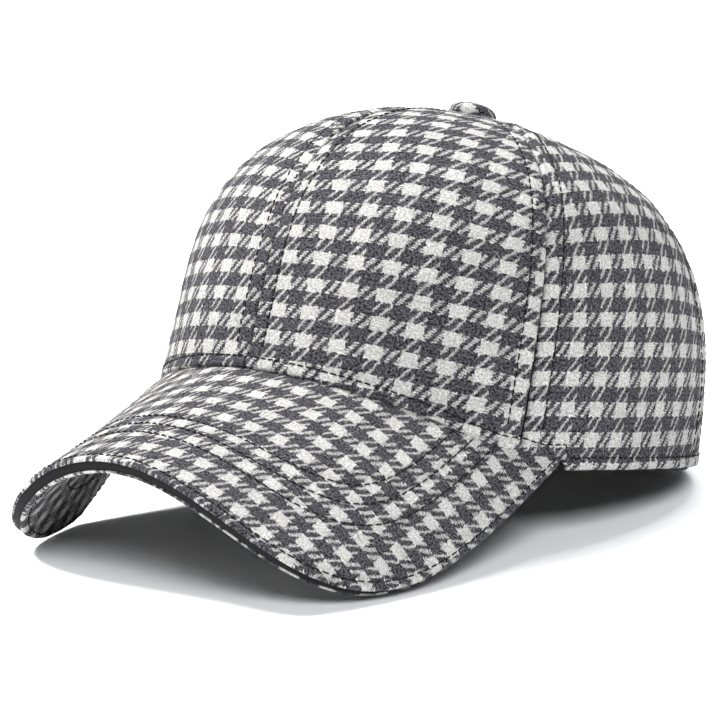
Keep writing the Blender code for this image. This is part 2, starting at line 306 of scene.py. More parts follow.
def run_length(steps):
    """Length from the start of a line to each of its points."""
    return np.concatenate([[0.0], np.cumsum(steps)])


def brim_reach(forward):
    """0 level with the brim's root, 1 level with its front."""
    return (forward - brim_root) / brim_length


def right_side(reach):
    """Share by which the right side is bent in: an S curve of the reach."""
    outer = smooth((reach - right_start) / right_spread)
    return right_curl * outer - right_ease * (1.0 - outer)


def brim_height(x, forward):
    """A straight fall forward, less a sag and a curl: the square and the
    fourth power of the distance from the middle, each factor changing
    evenly with the reach."""
    reach = brim_reach(forward)
    side = np.where(x < 0, x * (1.0 + right_side(reach)), x) / brim_half_width
    sag = sag_root + (sag_front - sag_root) * reach
    curl = curl_root + (curl_front - curl_root) * reach
    return brim_centre_z - brim_pitch * (forward - rim_front) - sag * side ** 2 - curl * side ** 4


def brim_normal(x, forward):
    """Upward normal from the two slopes, taken over small steps."""
    small = 1e-5
    across = (brim_height(x + small, forward) - brim_height(x - small, forward)) / (2 * small)
    ahead = (brim_height(x, forward + small) - brim_height(x, forward - small)) / (2 * small)
    return unit(np.stack([-across, ahead, np.ones_like(x)], -1))


def brim_point(x, forward, depth):
    """Point of the brim's top moved down its normal by a depth."""
    top = np.stack([x, rim_centre_y - forward, brim_height(x, forward)], -1)
    return top - brim_normal(x, forward) * depth[..., None]


def wall_meets(angle, depth, surface):
    """Height at which the wall meets a surface, by sixteen damped steps."""
    up = np.zeros_like(angle)
    for step in range(16):
        point = wall_shell(angle, up, np.full_like(angle, depth))
        up = up + 0.9 * (surface(point[..., 0], rim_centre_y - point[..., 1]) - point[..., 2])
    return up


def floor_height(x, forward):
    """The floor."""
    return np.zeros_like(x)


def free_hem(angle):
    """A cosine that rises to the back, less a squared sine at the sides."""
    return hem_rise * (1.0 - np.cos(angle)) - side_droop * np.sin(angle) ** 2


def brim_outline(count, depth=0.0):
    """Superellipse plan of the brim's edge from left to right, its right
    side narrowed, evenly spaced, and cut where a layer at the depth stands
    brim_tip out of the wall's inner face."""
    turn = np.linspace(0.0, np.pi / 2, 4801)
    power = 2.0 / brim_squareness
    across = brim_half_width * np.sin(turn) ** power
    forward = brim_root + brim_length * np.cos(turn) ** power
    narrow = 1.0 + np.maximum(right_side(brim_reach(forward)), 0.0)
    across = np.concatenate([across[:0:-1], -across / narrow])
    forward = np.concatenate([forward[:0:-1], forward])
    root = root_radius(np.arctan2(across, forward), depth)
    keep = np.hypot(across, forward) - root > brim_tip
    across, forward = across[keep], forward[keep]
    steps = np.hypot(np.diff(across), np.diff(forward))
    length = run_length(steps)
    wanted = np.linspace(0.0, 1.0, count) * length[-1]
    return np.interp(wanted, length, across), np.interp(wanted, length, forward)


def brim_end_angle():
    """Largest angle about the crown's axis along the brim's end, from its
    edge to its root."""
    x, forward = brim_outline(brim_columns)
    angle = np.arctan2(x[:1], forward[:1])
    radius = np.concatenate([np.hypot(x[:1], forward[:1]), root_radius(angle, 0.0)])
    point = brim_point(radius * np.sin(angle), radius * np.cos(angle), np.zeros(2))
    across, ahead, up = to_crown(point)
    return float(np.max(np.arctan2(across, ahead - lean(up))))


def hem_line(angle, depth):
    """On the brim in front; behind it a step down that dies away with an
    exponential to the free hem; never under the floor."""
    angle = np.arctan2(np.sin(angle), np.cos(angle))
    on_brim = wall_meets(angle, depth, brim_height) + hem_gap / np.cos(tilt)
    ends = np.where(angle < 0, -1.0, 1.0) * brim_end
    start = wall_meets(ends, depth, brim_height) - hem_step - free_hem(ends)
    past = np.maximum(np.abs(angle) - brim_end, 0.0)
    free = free_hem(angle) + start * np.exp(-past / np.radians(hem_settle))
    line = on_brim + (free - on_brim) * smooth(past / np.radians(hem_turn) - 0.3)
    return np.maximum(line, wall_meets(angle, depth, floor_height))


def height_at_radius(angle, radius):
    """Height at which the crown has closed in to a radius, by halving."""
    low = np.full_like(angle, 0.5 * crown_height)
    high = np.full_like(angle, crown_height)
    for step in range(40):
        middle = 0.5 * (low + high)
        wide = wall_radius(angle, middle) > radius
        low, high = np.where(wide, middle, low), np.where(wide, high, middle)
    return low


def root_radius(angle, depth):
    """Plan radius where a brim layer meets the wall's inner face."""
    inset = cloth + gap - hem_gap
    radius = rim_radius(angle) - inset
    below = np.full_like(angle, 1.0) * depth
    for step in range(20):
        point = brim_point(radius * np.sin(angle), radius * np.cos(angle), below)
        across, forward, up = to_crown(point)
        turn = np.arctan2(across, forward - lean(up))
        face = wall_radius(turn, up) - inset - seam_hollow(turn, up) - dent_depth(turn, up)
        radius = radius + 0.7 * (face - np.hypot(across, forward - lean(up)))
    return radius


brim_end = brim_end_angle()


def rest_on_floor(points):
    """Points under the floor are lifted onto it."""
    flat = points.copy()
    flat[..., 2] = np.maximum(flat[..., 2], 0.0)
    return flat


def quads(grid):
    """Four corners of every cell of a grid of point numbers."""
    return np.stack([grid[:-1, :-1], grid[:-1, 1:], grid[1:, 1:], grid[1:, :-1]], -1).reshape(-1, 4)


def add_object(name, data):
    """New object in the scene."""
    thing = bpy.data.objects.new(name, data)
    bpy.context.scene.collection.objects.link(thing)
    return thing


def add_piece(name, points, faces, material, cloth_uv):
    """Mesh from point rows and lists of same-sided faces, with its flat
    pattern as a UV map; it rides on the one body."""
    mesh = bpy.data.meshes.new(name)
    corners = np.concatenate([group.ravel() for group in faces]).astype(np.int32)
    sides = np.concatenate([np.full(len(group), group.shape[1]) for group in faces])
    starts = np.concatenate([[0], np.cumsum(sides)[:-1]]).astype(np.int32)
    mesh.vertices.add(len(points))
    mesh.vertices.foreach_set("co", points.astype(np.float32).ravel())
    mesh.loops.add(len(corners))
    mesh.loops.foreach_set("vertex_index", corners)
    mesh.polygons.add(len(sides))
    mesh.polygons.foreach_set("loop_start", starts)
    layer = mesh.uv_layers.new(name="flat_pattern")
    mesh.update(calc_edges=True)
    layer.data.foreach_set("uv", cloth_uv[corners].astype(np.float32).ravel())
    mesh.polygons.foreach_set("use_smooth", np.ones(len(sides), dtype=bool))
    mesh.validate()
    mesh.update()
    piece = add_object(name, mesh)
    mesh.materials.append(material)
    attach(piece, "root")
    return piece


def add_shell(name, outer, inner, outer_uv, material, flip=False):
    """Closed shell: a fine outer grid, and an inner grid that has every
    fourth row and column, joined by strips round the border in which four
    fine edges meet one coarse edge."""
    rows, columns = outer.shape[:2]
    fine = np.arange(rows * columns).reshape(rows, columns)
    coarse = rows * columns + np.arange(inner[..., 0].size).reshape(inner.shape[:2])

    def border(edge, back):
        parts = [edge[step:len(edge) - 4 + step:4] for step in range(4)]
        parts.append(edge[4::4])
        return np.stack(parts + [back[1:], back[:-1]], -1)

    faces = [quads(fine), quads(coarse)[:, ::-1]]
    faces.append(border(fine[0], coarse[0])[:, ::-1])
    faces.append(border(fine[-1], coarse[-1]))
    faces.append(border(fine[:, 0], coarse[:, 0]))
    faces.append(border(fine[:, -1], coarse[:, -1])[:, ::-1])
    if flip:
        faces = [group[:, ::-1] for group in faces]
    points = np.concatenate([outer.reshape(-1, 3), inner.reshape(-1, 3)])
    flat = np.concatenate([outer_uv.reshape(-1, 2), outer_uv[::4, ::4].reshape(-1, 2)])
    return add_piece(name, points, faces, material, flat)


def lay_pattern(flat, piece):
    """Flat pattern in metres to repeats of the weave: the inverse of the
    two repeat vectors, moved so a white block's middle is at a quarter."""
    across, along, block = grain[piece]
    turn = np.linalg.inv(np.array([across, along]).T)
    return (flat * 1000.0 - np.array(block)) @ turn.T + 0.25


def waves(first, second, seed, sizes, heights):
    """Sum of plane sine waves in random directions, for each size of wave."""
    source = np.random.default_rng(seed)
    total = np.zeros(np.broadcast(first, second).shape)
    for size, height in zip(sizes, heights):
        for turn in source.uniform(0.0, np.pi, 3):
            phase = source.uniform(0.0, 2 * np.pi)
            way = first * np.cos(turn) + second * np.sin(turn)
            total = total + height * np.sin(2 * np.pi * way / size + phase) / 3
    return total


def level_table(centre):
    """Along a panel's middle line: height, length from the rim, and the
    bend of a level line in the cloth, which is the fall of the radius per
    length over the radius."""
    share = np.linspace(0.0, 1.0, 801)
    up = crown_height * (1.0 - (1.0 - share) ** 3)
    turn = np.full_like(up, centre)
    step = np.linalg.norm(np.diff(wall_point(turn, up), axis=0), axis=-1)
    length = run_length(step)
    radius = wall_radius(turn, up)
    bend = -np.gradient(radius, length) / np.maximum(radius, 0.002)
    return up, length, bend


def level_length(angle, up, centre):
    """Length along a level line from a panel's middle, by sixteen chords."""
    turn = centre + (angle - centre)[..., None] * np.linspace(0.0, 1.0, 17)
    point = wall_point(turn, np.broadcast_to(up[..., None], turn.shape))
    step = np.linalg.norm(np.diff(point, axis=-2), axis=-1)
    return step.sum(-1) * np.sign(angle - centre)


def flatten_wall(side, up, table):
    """Flat pattern of a panel: a level line is unrolled as an arc with its
    bend, so a point lies at sine of the turn over the bend across, and as
    much higher as the arc climbs."""
    heights, length, bend = table
    level = np.where(up < 0, up, np.interp(up, heights, length))
    half = side * np.interp(up, heights, bend) / 2
    across = side * np.sinc(2 * half / np.pi)
    along = level + side * np.sin(half) * np.sinc(half / np.pi)
    return np.stack([across, along], -1)


def rounded(distance, radius):
    """Depth of a quarter-round edge at a distance in from the edge."""
    inside = np.clip(radius - distance, 0.0, radius)
    return radius - np.sqrt(radius ** 2 - inside ** 2)


def trace(points, field, value):
    """Where a field first passes a value along each row, by straight
    interpolation; rows in which it never does are left out."""
    past = field > value
    right = np.argmax(past, axis=1)
    rows = np.nonzero(past.any(axis=1) & (right > 0))[0]
    right = right[rows]
    low, high = field[rows, right - 1], field[rows, right]
    share = ((value - low) / (high - low))[:, None]
    return points[rows, right - 1] * (1 - share) + points[rows, right] * share


def grid_normals(points):
    """Cross product of the steps along the two directions of a grid."""
    return unit(np.cross(np.gradient(points, axis=1), np.gradient(points, axis=0)))


def add_gore(name, first_seam, material):
    """One crown panel: the wall, with the cloth's edges folded in along both
    seams and the hem, the strip beside each seam lifted by the allowance,
    rows of stitches drawn in, small puckers that die away from them, and
    slow waves. Returns the lines that its stitches follow."""
    start, stop = np.radians(first_seam), np.radians(first_seam + 60.0)
    centre = 0.5 * (start + stop)
    table = level_table(centre)
    share = np.linspace(0.0, 1.0, panel_columns)
    angle = start + (stop - start) * (share - 0.86 * np.sin(2 * np.pi * share) / (2 * np.pi))
    near = np.array([0.0, 0.0001, 0.0003, 0.0006, 0.0009, 0.0013, 0.0018, 0.0024])
    far = np.linspace(0.0, 1.0, panel_rows)
    top = height_at_radius(angle, panel_top_radius)
    far = 0.5 * far + 0.5 * np.sin(far * np.pi / 2) ** 0.9
    bottom = hem_line(angle, 0.0)
    lift = 0.0030 + (top - bottom - 0.0030) * far[:, None]
    lift = np.concatenate([np.repeat(near[:, None], len(angle), 1), lift])
    up = bottom + lift
    spread = np.broadcast_to(angle, up.shape)
    side = level_length(spread, up, centre)
    low = level_length(np.full_like(up, start), up, centre)
    high = level_length(np.full_like(up, stop), up, centre)
    flat = flatten_wall(side, up, table)
    from_low, from_high = side - low, high - side
    level = np.interp(up, table[0], table[1])
    seed = int(first_seam)
    folds = dict((int(seam), (fold, pull)) for seam, fold, pull in seam_folds)
    fold_low, pull_low = folds[seed % 360]
    fold_high, pull_high = folds[(seed + 60) % 360]
    width = high - low
    room = smooth(width / 0.03)
    inward = np.maximum(rounded(from_low, fold_low * room), rounded(from_high, fold_high * room))
    inward = np.maximum(inward, rounded(lift, hem_fold))
    relief = np.zeros_like(up)
    for edge, way in ((from_low, 1.0), (from_high, 2.0)):
        strip = 1.0 - smooth((edge - allowance + 0.0009) / 0.0016)
        relief += allowance_rise * strip * room
        beat = 0.72 + 0.28 * np.cos(2 * np.pi * level / stitch_pitch + way)
        relief -= stitch_sink * room * beat * np.exp(-((edge - allowance) / draw_width) ** 2)
        fade = np.exp(-(edge / 0.0075) ** 2) * room
        relief += fade * waves(level, edge * 0.35, seed + int(way), *seam_puckers)
    swell = 1.0 - smooth((lift - hem_stitch + 0.0009) / 0.0018)
    relief += hem_swell * swell
    beat = 0.75 + 0.25 * np.cos(2 * np.pi * side / stitch_pitch)
    relief -= stitch_sink * 1.1 * beat * np.exp(-((lift - hem_stitch) / draw_width) ** 2)
    fade = np.exp(-(lift / 0.008) ** 2)
    relief += fade * waves(side, lift * 0.4, seed + 5, *hem_puckers)
    slow = waves(side, level, seed + 9, *crown_waves)
    calm = smooth(lift / 0.01) * smooth(width / 0.04)
    relief += slow * calm
    pull = np.where(share < 0.5, pull_low, pull_high) * smooth((pull_height - up) / pull_fade)
    shift = (seam_gap + pull) / np.maximum(wall_radius(spread, up), 0.002)
    turned = spread + shift * (1.0 - 2.0 * smooth(share * 40.0 - 19.5))
    normal = wall_normal(turned, up)
    outer = wall_shell(turned, up, inward) + normal * relief[..., None]
    depth = np.full_like(up, cloth)[::4, ::4]
    inner = wall_shell(turned[::4, ::4], up[::4, ::4], depth)
    inner = inner + normal[::4, ::4] * (slow * calm)[::4, ::4, None]
    outer, inner = rest_on_floor(outer), rest_on_floor(inner)
    pattern = lay_pattern(flat, name)
    piece = add_shell("gore_" + name, outer, inner, pattern, material)
    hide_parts("panel_" + name)
    normals = grid_normals(outer)
    first = len(near)
    add_nap("nap_" + name, outer[first:], normals[first:], pattern[first:], gore_fibres,
            seed + 70, material)
    rows = np.concatenate([outer, normals], -1)
    low_line = trace(rows, from_low, allowance)
    high_line = trace(rows[:, ::-1], from_high[:, ::-1], allowance)
    hem = trace(rows.transpose(1, 0, 2), lift.T, hem_stitch)
    lowest = hem_stitch + row_start
    keep_low = trace(np.dstack([lift, width]), from_low, allowance)
    keep_high = trace(np.dstack([lift, width])[:, ::-1], from_high[:, ::-1], allowance)
    low_line = low_line[(keep_low[:, 0] > lowest) & (keep_low[:, 1] > row_stop)]
    high_line = high_line[(keep_high[:, 0] > lowest) & (keep_high[:, 1] > row_stop)]
    return [low_line, high_line], hem


def tube_faces(index):
    """Sides and both ends of closed tubes, from the numbers of their rings."""
    around = np.concatenate([index, index[:, :, :1]], 2)
    low, high = around[:, :-1], around[:, 1:]
    sides = np.stack([low[..., :-1], low[..., 1:], high[..., 1:], high[..., :-1]], -1)
    return [sides.reshape(-1, 4)[:, ::-1], index[:, 0], index[:, -1][:, ::-1]]


def stitch_points(line, pitch, length, radius):
    """Stitches along a line of points and normals: rings of six points
    about a short stretch of the line, thin at both ends, whose ends dip
    under the cloth by the fourth power of the way from the middle."""
    step = np.linalg.norm(np.diff(line[:, :3], axis=0), axis=-1)
    run = run_length(step)
    count = int(run[-1] // pitch)
    share = np.linspace(0.0, 1.0, 5)
    jitter = chance.normal(0.0, 0.05, count) * pitch
    place = (np.arange(count) * pitch + jitter)[:, None] + 0.1 * pitch + length * share
    centre = np.stack([np.interp(place, run, line[:, axis]) for axis in range(3)], -1)
    normal = unit(np.stack([np.interp(place, run, line[:, 3 + axis]) for axis in range(3)], -1))
    bow = radius * (0.95 - 2.1 * (2 * share - 1) ** 4)
    centre = centre + normal * bow[:, None]
    along = unit(np.gradient(centre, axis=1))
    side = unit(np.cross(along, normal))
    lean_over = chance.normal(0.0, 0.05, count)[:, None, None] * (share - 0.5)[:, None] * length
    centre = centre + side * lean_over
    thick = radius * np.sin(np.pi * (0.12 + 0.76 * share)) ** 0.45
    turn = np.arange(6) * np.pi / 3
    ring = side[:, :, None] * np.cos(turn)[:, None] + normal[:, :, None] * np.sin(turn)[:, None]
    points = centre[:, :, None] + ring * thick[:, None, None]
    flat = np.stack(np.broadcast_arrays(place[:, :, None], turn * radius), -1)
    return points.reshape(-1, 3), flat.reshape(-1, 2), count


def add_stitches(name, lines, material, radius=stitch_radius):
    """All the stitches of a group of lines as one piece."""
    points, flats, total = [], [], 0
    for line in lines:
        if len(line) > 3:
            place, flat, count = stitch_points(line, stitch_pitch, stitch_length, radius)
            points.append(place)
            flats.append(flat)
            total += count
    index = np.arange(total * 30).reshape(total, 5, 6)
    faces = tube_faces(index)
    return add_piece(name, np.concatenate(points), faces, material, np.concatenate(flats))


def add_nap(name, surface, normals, flat, count, seed, material):
    """Loose fibres of the brushed wool: each leaves the cloth in a random
    direction, rises by a part of a sine and bends sideways with the square
    of the way, as a closed tube of four rings of three points that is thin
    at both ends. The whole fibre takes the yarn's colour at its root."""
    source = np.random.default_rng(seed)
    corner = surface[:-1, :-1]
    area = np.linalg.norm(np.cross(surface[:-1, 1:] - corner, surface[1:, :-1] - corner), axis=-1)
    cell = source.choice(area.size, count, p=area.ravel() / area.sum())
    row, column = np.divmod(cell, area.shape[1])
    ahead, along = source.uniform(0.0, 1.0, (2, count, 1))

    def at(grid):
        low = grid[row, column] * (1 - along) + grid[row, column + 1] * along
        high = grid[row + 1, column] * (1 - along) + grid[row + 1, column + 1] * along
        return low * (1 - ahead) + high * ahead

    normal = unit(at(normals))
    way = unit(np.cross(normal, source.normal(size=(count, 3))))
    wide = np.cross(way, normal)
    share = np.linspace(0.0, 1.0, 4)[:, None]
    length, rise, turn, bend = source.uniform(0.0, 1.0, (4, count, 1, 1))
    length = nap_shortest + nap_spread * length
    rise = length * (0.04 + 0.26 * rise ** 2) * np.sin(np.pi * share * (0.55 + 0.45 * turn))
    centre = at(surface)[:, None] + way[:, None] * length * share
    centre = centre + normal[:, None] * (rise - 0.00003)
    centre = centre + wide[:, None] * length * (bend - 0.5) * share ** 2
    thick = nap_radius * (0.35 + 0.65 * np.sin(np.pi * (0.1 + 0.8 * share)))
    angle = np.arange(3) * 2 * np.pi / 3
    ring = wide[:, None, None] * np.cos(angle)[:, None] + normal[:, None, None] * np.sin(angle)[:, None]
    points = centre[:, :, None] + ring * thick[None, :, :, None]
    index = np.arange(count * 12).reshape(count, 4, 3)
    faces = tube_faces(index)
    pattern = np.repeat(at(flat), 12, 0)
    return add_piece(name, points.reshape(-1, 3), faces, material, pattern)


def flatten_brim(x, forward):
    """Flat pattern of the brim: length of the bent line across from the
    middle by twenty-four chords, and length back along its slope."""
    across = x[..., None] * np.linspace(0.0, 1.0, 25)
    high = brim_height(across, np.broadcast_to(forward[..., None], across.shape))
    step = np.hypot(np.diff(across, axis=-1), np.diff(high, axis=-1))
    return np.stack([step.sum(-1) * np.sign(x), -forward * np.hypot(1.0, brim_pitch)], -1)


def brim_plan(outline, depth):
    """Plan grid of the brim from its edge inward to the wall's inner face;
    rows are close together at the edge. Also returns each point's distance
    from the edge in the flat pattern."""
    across, forward = outline
    angle = np.arctan2(across, forward)
    edge = np.hypot(across, forward)
    reach = edge - root_radius(angle, depth)
    near = np.array([0.0, 0.0001, 0.0003, 0.0006, 0.0010, 0.0015, 0.0022, 0.0030, 0.0038])
    near = np.concatenate([near, [0.0046, 0.0052, 0.0058]])
    far = np.linspace(0.0, 1.0, brim_levels)
    limit = np.minimum(near[:, None], reach * np.linspace(0.0, 0.7, len(near))[:, None])
    inset = 0.0064 + (reach - 0.0064) * far[:, None]
    inset = np.where(reach > 0.009, inset, reach * (0.72 + 0.28 * far[:, None]))
    radius = edge - np.concatenate([limit, inset])
    x, forward = radius * np.sin(angle), radius * np.cos(angle)
    flat = flatten_brim(x, forward)
    rim = flat[0]
    distance = np.stack([np.sqrt(((row[:, None] - rim[None]) ** 2).sum(-1).min(1)) for row in flat])
    return x, forward, flat, distance


def brim_relief(flat, distance, seed):
    """Rows of stitches drawn in, soft swelling between them, puckers beside
    the edge row and slow waves."""
    relief = np.zeros_like(distance)
    for row, growth in brim_rows:
        off = distance - row - growth * np.abs(flat[..., 0])
        beat = 0.75 + 0.25 * np.cos(2 * np.pi * (flat[..., 0] + flat[..., 1]) / stitch_pitch)
        relief -= brim_draw * beat * np.exp(-(off / 0.0007) ** 2)
        relief -= 0.00010 * np.exp(-(off / 0.0022) ** 2)
    fade = np.exp(-((distance - edge_stitch) / 0.004) ** 2)
    relief += fade * waves(flat[..., 0], flat[..., 1], seed, *brim_puckers)
    relief += waves(flat[..., 0], flat[..., 1], seed + 1, *brim_waves)
    return relief


def add_brim_cover(name, top, material):
    """One side of the brim: its face with a rounded edge that comes down to
    the tape, and a coarse inner face that steps in behind the tape."""
    face_depth = 0.0 if top else brim_thickness
    way = 1.0 if top else -1.0
    outline = brim_outline(brim_columns, face_depth)
    x, forward, flat, distance = brim_plan(outline, face_depth)
    reach = np.hypot(*outline) - root_radius(np.arctan2(*outline), face_depth)
    ease = end_share + (1.0 - end_share) * smooth((reach[::4] - brim_tip) / end_reach)
    ease = np.broadcast_to(ease if top else 1.0, ease.shape)
    roll = rounded(distance, cover_edge * 0.96)
    relief = brim_relief(flat, distance, 21 if top else 31)
    quiet = smooth(distance / 0.0012)
    depth = face_depth + way * (roll - relief * quiet)
    outer = brim_point(x, forward, depth)
    middle = brim_thickness / 2 - way * gap / 2
    lip = cover_edge if top else brim_thickness - cover_edge
    near = np.where(ease < 1.0, np.minimum(lip, 0.8 * middle * ease), lip)
    inside = np.where(distance[::4, ::4] < tape_depth + 0.0004, near, middle * ease)
    inner = brim_point(x[::4, ::4], forward[::4, ::4], inside)
    pattern = lay_pattern(flat, name)
    piece = add_shell("cover_" + name, outer, inner, pattern, material, flip=top)
    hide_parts(name)
    normal = brim_normal(x, forward) * way
    count = cover_fibres[0 if top else 1]
    add_nap("nap_" + name, outer[5:], normal[5:], pattern[5:], count, 80 + count, material)
    rows = np.concatenate([outer, normal], -1).transpose(1, 0, 2)
    side = np.abs(flat[..., 0])
    return [trace(rows, (distance - growth * side).T, row) for row, growth in brim_rows]


def add_tape(material):
    """Flat tape between the covers' edges: a closed profile of sixteen
    points, bowed out a little in the middle, carried along the edge."""
    across, forward = brim_outline(brim_columns, brim_thickness - cover_edge - gap)
    across, forward = across[3:-3], forward[3:-3]
    angle, edge = np.arctan2(across, forward), np.hypot(across, forward)
    share = np.linspace(0.0, 1.0, 9)
    top, low = cover_edge + 0.00008, brim_thickness - cover_edge - 0.00008
    bow = 0.00022 * np.sin(np.pi * share)
    face_in = tape_inset + 0.00012 - bow
    room = edge - root_radius(angle, brim_thickness / 2)
    back = np.minimum(tape_depth * 0.88, 0.42 * room)
    front_depth = top + (low - top) * share
    inset = np.concatenate([np.repeat(face_in[:, None], len(angle), 1), np.repeat(back[None], 7, 0)])
    depth = np.concatenate([front_depth, front_depth[1:-1][::-1]])
    radius = edge - inset
    below = np.repeat(depth[:, None], len(angle), 1)
    points = brim_point(radius * np.sin(angle), radius * np.cos(angle), below)
    index = np.arange(points.shape[0] * points.shape[1]).reshape(points.shape[:2])
    around = np.concatenate([index, index[:1]], 0)
    faces = [quads(around), index[:, 0][None, ::-1], index[:, -1][None]]
    step = np.hypot(np.diff(across), np.diff(forward))
    run = run_length(step)
    flat = np.stack(np.broadcast_arrays(run[None, :], below), -1)
    points, flat = points.reshape(-1, 3), flat.reshape(-1, 2)
    piece = add_piece("edge_tape", points, faces, material, flat)
    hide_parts("brim_tape")


def add_sweatband(material):
    """Closed band inside the wall, a fold along its lower edge and a hollow
    where it is stitched; in front it hangs to the brim's underside."""
    angle = np.linspace(-np.pi, np.pi, band_columns + 1)[:-1]
    hem = hem_line(angle, cloth)
    past = (np.abs(angle) - brim_end) / np.radians(hem_turn) + 0.5
    under = (brim_thickness + band_show) / np.cos(tilt)
    low = hem - under + (under - band_show) * smooth(past)
    ripple = 0.00022 * np.sin(angle * 23.0 + 1.3) + 0.00016 * np.sin(angle * 41.0)
    low = low + ripple
    high = hem + band_height
    share = np.array([0.0, 0.006, 0.02, 0.05, 0.09, 0.14, 0.22, 0.34, 0.5, 0.7, 0.9, 0.97, 1.0])
    up = low + (high - low) * share[:, None]
    spread = np.broadcast_to(angle, up.shape)
    fold = rounded((up - low), 0.0006) + rounded((high - up), 0.0006)
    hollow = 0.0003 * np.exp(-((up - low - 0.0045) / 0.0007) ** 2)
    outer = wall_shell(spread, up, cloth + gap + fold)
    inner = wall_shell(spread, up, cloth + gap + band_wall - fold - hollow)
    ring = np.concatenate([rest_on_floor(outer), rest_on_floor(inner)[::-1]])
    index = np.arange(ring.shape[0] * band_columns).reshape(ring.shape[0], band_columns)
    index = np.concatenate([index, index[:1]], 0)
    index = np.concatenate([index, index[:, :1]], 1)
    flat = np.stack(np.broadcast_arrays(angle * rim_side, np.concatenate([up, up[::-1]])), -1)
    points, flat = ring.reshape(-1, 3), flat.reshape(-1, 2)
    piece = add_piece("inner_band", points, [quads(index)], material, flat)
    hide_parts("sweatband")


def add_button(material):
    """Covered button: a profile of revolution about the crown's axis, its
    rim gathered by a few waves round it and softly uneven on top."""
    turn = np.linspace(0.0, 2 * np.pi, button_columns + 1)[:-1]
    button_side = button_radius + button_puff
    crown_drop = crown_height - float(np.mean(height_at_radius(turn, button_side)))
    share = np.linspace(0.0, 1.0, 41)
    over = np.clip((share - 0.12) / 0.88, 0.0, 1.0)
    swing = (1.0 - over) * np.radians(118.0)
    radius = button_side * np.sin(np.minimum(swing, np.pi / 2)) ** 0.9
    radius = np.where(swing > np.pi / 2, button_side * np.sin(swing) ** 0.7, radius)
    radius = np.where(share < 0.12, 0.0022 + (radius[5] - 0.0022) * share / 0.12, radius)
    up = button_height * np.where(swing > np.pi / 2, np.cos(swing) * 1.15, np.cos(swing) ** 0.8)
    up = up * 0.72 + button_height * 0.28
    up = up - crown_drop * 0.6 * (radius / button_side) ** 2 * (share < 0.5)
    radius[-1] = 0.0
    pleat = np.exp(-((share - 0.32) / 0.13) ** 2)[:, None]
    wave = np.sin(turn * 9 + 0.6) * 0.6 + np.sin(turn * 14 + 2.0) * 0.4
    wide = radius[:, None] + 0.00028 * pleat * wave
    high = up[:, None] + 0.00022 * pleat * np.sin(turn * 7 + 1.1)
    high = high + 0.00016 * np.sin(wide * 900.0 * np.sin(turn + 0.7)) * (1 - share[:, None])
    along = run_length(np.hypot(np.diff(radius), np.diff(up)))
    from_top = (along[-1] - along)[:, None]
    ring = to_world(wide * np.sin(turn), wide * np.cos(turn) + crown_lean + button_forward,
                    crown_height + high)
    flat = np.stack([from_top * np.sin(turn), -from_top * np.cos(turn)], -1)
    rows = ring.shape[0]
    index = np.arange(rows * button_columns).reshape(rows, button_columns)
    around = np.concatenate([index, index[:, :1]], 1)
    points, pattern = ring.reshape(-1, 3), flat.reshape(-1, 2)
    faces = [quads(around)[:-button_columns], index[0][None, ::-1]]
    tip = np.full(button_columns, index[-1, 0])
    faces.append(np.stack([index[-2], np.roll(index[-2], -1), tip], -1))
    used = np.arange(index[-1, 0] + 1)
    pattern = lay_pattern(pattern, "button")
    piece = add_piece("button_cover", points[used], faces, material, pattern[used])
    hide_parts("button")


def linear(colour):
    """sRGB hex to linear red, green, blue and one for alpha."""
    value = np.array([int(colour[place:place + 2], 16) for place in (1, 3, 5)]) / 255.0
    flat = np.where(value <= 0.04045, value / 12.92, ((value + 0.055) / 1.055) ** 2.4)
    return (*[float(part) for part in flat], 1.0)


def add_node(tree, kind, inputs, **settings):
    """Adds a node with its settings; an input is a value or an output."""
    node = tree.nodes.new(kind)
    for name, value in settings.items():
        setattr(node, name, value)
    for name, value in inputs.items():
        if isinstance(value, bpy.types.NodeSocket):
            tree.links.new(value, node.inputs[name])
        else:
            node.inputs[name].default_value = value
    return node.outputs


def calculate(tree, operation, *inputs):
    """The number that a math node gives."""
    return add_node(tree, "ShaderNodeMath", dict(enumerate(inputs)), operation=operation)[0]


def move(tree, operation, *inputs):
    """The vector that a vector math node gives."""
    inputs = dict(enumerate(inputs))
    return add_node(tree, "ShaderNodeVectorMath", inputs, operation=operation)[0]


def blend(tree, share, first, second):
    """A colour from the first to the second, by a share."""
    inputs = {0: share, 6: linear(first), 7: linear(second)}
    return add_node(tree, "ShaderNodeMix", inputs, data_type="RGBA")[2]


def new_material(name):
    """Empty node material and its tree, with the Principled shader."""
    material = bpy.data.materials.new(name)
    material.use_nodes = True
    return material, material.node_tree, material.node_tree.nodes["Principled BSDF"]


